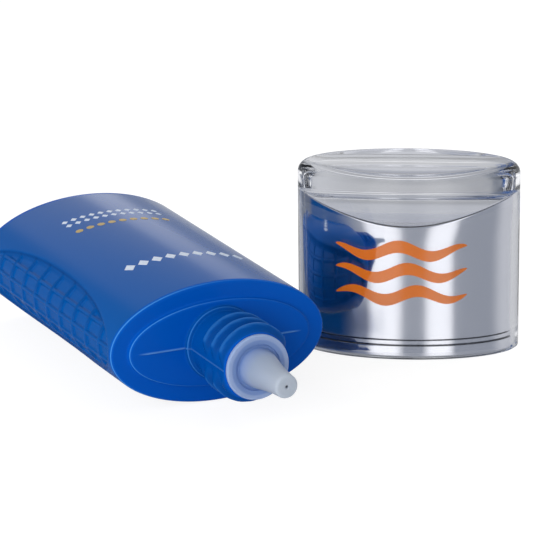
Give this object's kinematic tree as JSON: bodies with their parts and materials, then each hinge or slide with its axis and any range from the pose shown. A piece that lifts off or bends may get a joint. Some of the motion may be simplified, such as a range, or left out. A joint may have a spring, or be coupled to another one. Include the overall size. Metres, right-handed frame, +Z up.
{
  "type": "sunscreen bottle",
  "caption": "Oval squeeze bottle lying on its back with a nozzle plug in its threaded neck, and its taken-off oval cap, a clear shell over a bright sleeve, standing beside it.",
  "frame": {"origin": "on the surface that the bottle and its cap rest on, under the middle of their common box", "axes": "+X along the lying bottle from its base to its nozzle, +Y from the bottle to the cap, +Z up"},
  "size_m": [0.1008, 0.0934, 0.0387],
  "materials": {
    "bottle_blue": "semi-gloss blow-moulded polyethylene",
    "nozzle_natural": "natural translucent polyethylene",
    "cap_clear": "polished clear styrenic",
    "sleeve_silver": "bright vacuum-metallised silver",
    "insert_white": "satin white polypropylene"
  },
  "bodies": {
    "bottle": {"bottle_body": "bottle_blue", "nozzle_plug": "nozzle_natural"},
    "cap": {"cap_outer_shell": "cap_clear", "cap_silver_sleeve": "sleeve_silver", "cap_thread_insert": "insert_white"}
  },
  "joints": [
    {"name": "cap_lift", "type": "slide", "parent": "bottle", "child": "cap", "axis": [0, 0, 1], "range_m": [0, 0.05]}
  ]
}
